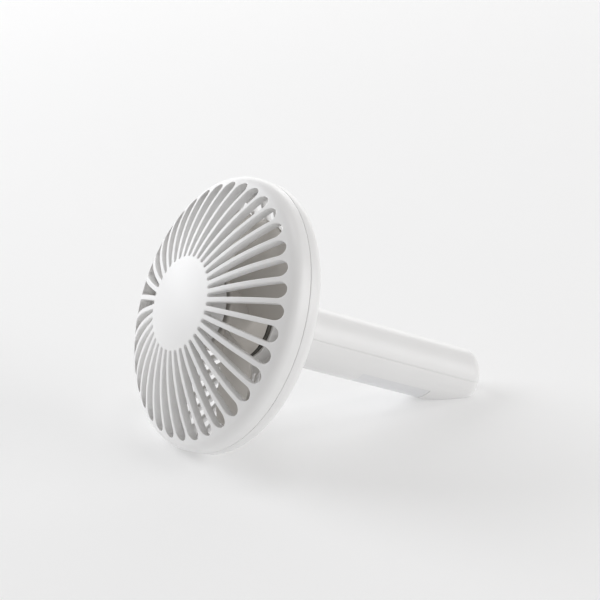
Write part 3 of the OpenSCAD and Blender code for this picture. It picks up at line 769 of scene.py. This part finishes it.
FINISH = {
    "shell_plastic": material("shell_finish", (0.88, 0.878, 0.876), 0.34, vary=0.015),
    # The wheel's pale plastic is coloured darker and warmer than it is: painted shade for the inside of the
    # head, seen through the slots.
    "impeller_plastic": material("wheel_plastic_with_painted_shade", (0.66, 0.63, 0.59), 0.4, vary=0.02),
    "button_plastic": material("button_finish", (0.82, 0.82, 0.815), 0.38, vary=0.015),
    "clear_plastic": material("clear_finish", (0.85, 0.9, 0.92), 0.12, vary=0.02, coat=0.6),
    "steel": material("zinc_steel", (0.62, 0.63, 0.65), 0.32, 1.0, vary=0.12, blotch=300, bump=0.1),
    "dark_steel": material("phosphated_steel", (0.13, 0.125, 0.11), 0.5, 0.6, vary=0.2, blotch=400, bump=0.1),
    "ground_steel": material("ground_steel_finish", (0.72, 0.73, 0.75), 0.18, 1.0, vary=0.06,
                             stretch=(0.1, 1, 0.1)),
    "magnet": material("ferrite", (0.05, 0.05, 0.052), 0.7, 0.2, vary=0.3, blotch=900, bump=0.3),
    "lamination": material("lamination_finish", (0.36, 0.37, 0.39), 0.45, 1.0, vary=0.25, blotch=700,
                           bump=0.2),
    "copper": material("enamelled_copper", (0.66, 0.26, 0.1), 0.28, 0.9, vary=0.3, blotch=1500, bump=0.6,
                       coat=0.5),
    "brass": material("turned_brass", (0.68, 0.48, 0.2), 0.3, 1.0, vary=0.15, blotch=400),
    "board": material("solder_mask", (0.015, 0.16, 0.07), 0.35, vary=0.35, blotch=900, coat=0.4),
    "component": material("moulded_black", (0.02, 0.02, 0.022), 0.5, vary=0.3, blotch=800),
    "switch_metal": material("tinned_metal", (0.66, 0.67, 0.68), 0.26, 1.0, vary=0.1, blotch=500),
    "battery": material("cell_wrap", (0.03, 0.2, 0.36), 0.3, vary=0.12, blotch=120, coat=0.5),
    "nickel": material("nickel_strip", (0.6, 0.58, 0.55), 0.3, 1.0, vary=0.12, blotch=600, stretch=(1, 6, 1)),
    "foam": material("foam_finish", (0.03, 0.03, 0.032), 0.95, vary=0.4, blotch=1500, grain=1800, bump=0.8,
                     specular=0.2),
    "wire_insulation": material("insulation", (0.42, 0.03, 0.03), 0.45, vary=0.2, blotch=500),
    "washer": material("washer_finish", (0.03, 0.03, 0.03), 0.5, vary=0.3, blotch=800),
    "label": material("label_film", (0.83, 0.833, 0.845), 0.45, vary=0.03, blotch=200, bump=0.02),
    "led": material("led_lens", (0.85, 0.8, 0.55), 0.2, vary=0.05, coat=0.5),
}


def paint(piece, slot):
    piece.data.materials.clear()
    piece.data.materials.append(FINISH[slot])


for part in frame["record"]["subparts"]:
    node = frame["nodes"].get(part["node"])
    if node:
        paint(node, part["material_slot"])

# ---- pieces ----


def finish_piece(piece, body, node, slot):
    paint(piece, slot)
    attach(piece, body)
    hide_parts(node)


finish_piece(make_front(), "fan_body", "front_grille", "shell_plastic")
finish_piece(make_rear(), "fan_body", "rear_shell", "shell_plastic")
finish_piece(make_impeller(), "impeller", "impeller", "impeller_plastic")
top, bottom = make_handle()
finish_piece(top, "fan_body", "handle_upper", "shell_plastic")
finish_piece(bottom, "fan_body", "handle_lower", "shell_plastic")
finish_piece(make_button(), "power_button", "power_button", "button_plastic")
finish_piece(make_label(), "fan_body", "rating_label", "label")

# ---- floor, light and camera, in metres ----

FLOOR_START = -2.2  # in front of the fan, along the camera's direction
CURVE_START = 1.2  # behind the fan, where the sheet starts to rise
CURVE_R = 0.8
WALL_TOP = 3.5
FLOOR_HALF_W = 4
FLOOR_TURN = math.radians(-30.1)  # lines the sheet up with the camera
FLOOR_GREY = 0.66
FLOOR_GLOW = 0.27
LIGHTS_AIM = (0, 0, 0.05)


def make_floor():
    """A pale sheet that curves up far behind the fan and glows a little, as a lit table does."""
    away = [(FLOOR_START, 0.0), (CURVE_START, 0.0)]
    away += [(CURVE_START + CURVE_R * math.sin(a), CURVE_R - CURVE_R * math.cos(a))
             for a in np.radians(np.linspace(6, 90, 15))]
    away += [(CURVE_START + CURVE_R, WALL_TOP)]
    forward = np.array([-math.sin(FLOOR_TURN), math.cos(FLOOR_TURN)])
    right = np.array([math.cos(FLOOR_TURN), math.sin(FLOOR_TURN)])
    across = np.linspace(-FLOOR_HALF_W, FLOOR_HALF_W, 9)
    rows = [[(*(forward * d + right * w), h) for w in across] for d, h in away]
    floor = Shape().grid(rows).mesh("table_sheet", 60, place=lambda points: points)
    paper = material("lit_table", (FLOOR_GREY,) * 3, 0.9, vary=0.004, blotch=4, bump=0.0, specular=0.1)
    glow = paper.node_tree.nodes["Principled BSDF"]
    glow.inputs["Emission Color"].default_value = (1, 1, 1, 1)
    glow.inputs["Emission Strength"].default_value = FLOOR_GLOW
    floor.data.materials.append(paper)


def add_object(name, data, at, aim):
    """A light or camera that looks from one point to another."""
    ob = bpy.data.objects.new(name, data)
    bpy.context.scene.collection.objects.link(ob)
    ob.location = at
    ob.rotation_euler = (Vector(aim) - ob.location).to_track_quat("-Z", "Y").to_euler()
    return ob


def area_light(name, at, size, power, colour=(1, 1, 1)):
    data = bpy.data.lights.new(name, "AREA")
    data.shape = "RECTANGLE"
    data.size, data.size_y = size
    data.energy = power
    data.color = colour
    add_object(name, data, at, LIGHTS_AIM)


make_floor()
area_light("left_soft", (-0.88, 1.2, 0.74), (1.4, 1.2), 17, (0.965, 0.98, 1))
area_light("right_soft", (0.97, -1.13, 0.6), (1.4, 0.9), 10)
area_light("back_strip", (0.78, 1.3, 0.42), (1.7, 0.5), 4.5)
area_light("overhead", (0.3, 0, 1.5), (0.4, 0.4), 1.8)
world = bpy.data.worlds.new("studio")
world.use_nodes = True
sky = world.node_tree.nodes["Background"]
sky.inputs["Color"].default_value = (1, 0.982, 0.968, 1)
sky.inputs["Strength"].default_value = 0.37
bpy.context.scene.world = world
bpy.context.scene.view_settings.view_transform = "Standard"

camera_data = bpy.data.cameras.new("view")
camera_data.lens = 150
camera = add_object("view", camera_data, (-0.4794, -0.8098, 0.3734), (-0.0234, -0.0230, 0.0612))
bpy.context.scene.camera = camera
